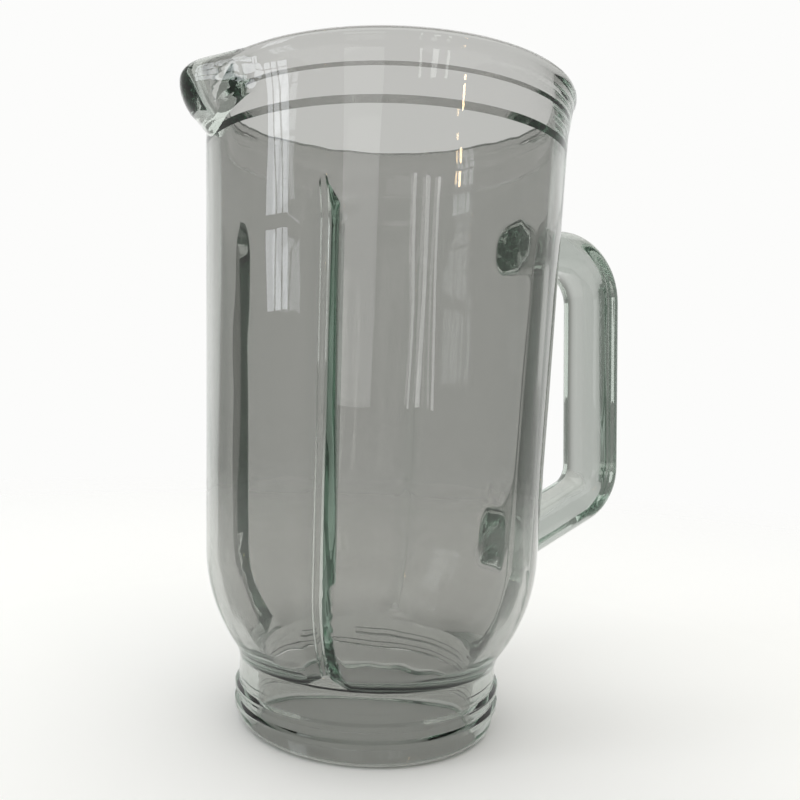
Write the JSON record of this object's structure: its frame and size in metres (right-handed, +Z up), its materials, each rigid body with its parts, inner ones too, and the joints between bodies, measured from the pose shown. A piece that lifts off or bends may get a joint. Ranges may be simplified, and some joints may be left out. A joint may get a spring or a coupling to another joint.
{
  "type": "blender jar",
  "caption": "Clear pressed-glass blender jar: tapered round body with a side handle, a pouring lip, inner ribs and an open threaded neck for the blade base.",
  "frame": {"origin": "on the jar's axis at the neck's lower face", "axes": "+Z up along the jar's axis towards the rim, +X towards the handle, -X towards the pouring lip"},
  "size_m": [0.1838, 0.1304, 0.22],
  "materials": {
    "pressed_glass": "clear, fire-polished soda-lime glass with a faint green cast in thick places"
  },
  "bodies": {
    "root": {"glass_jar": "pressed_glass"}
  },
  "joints": []
}
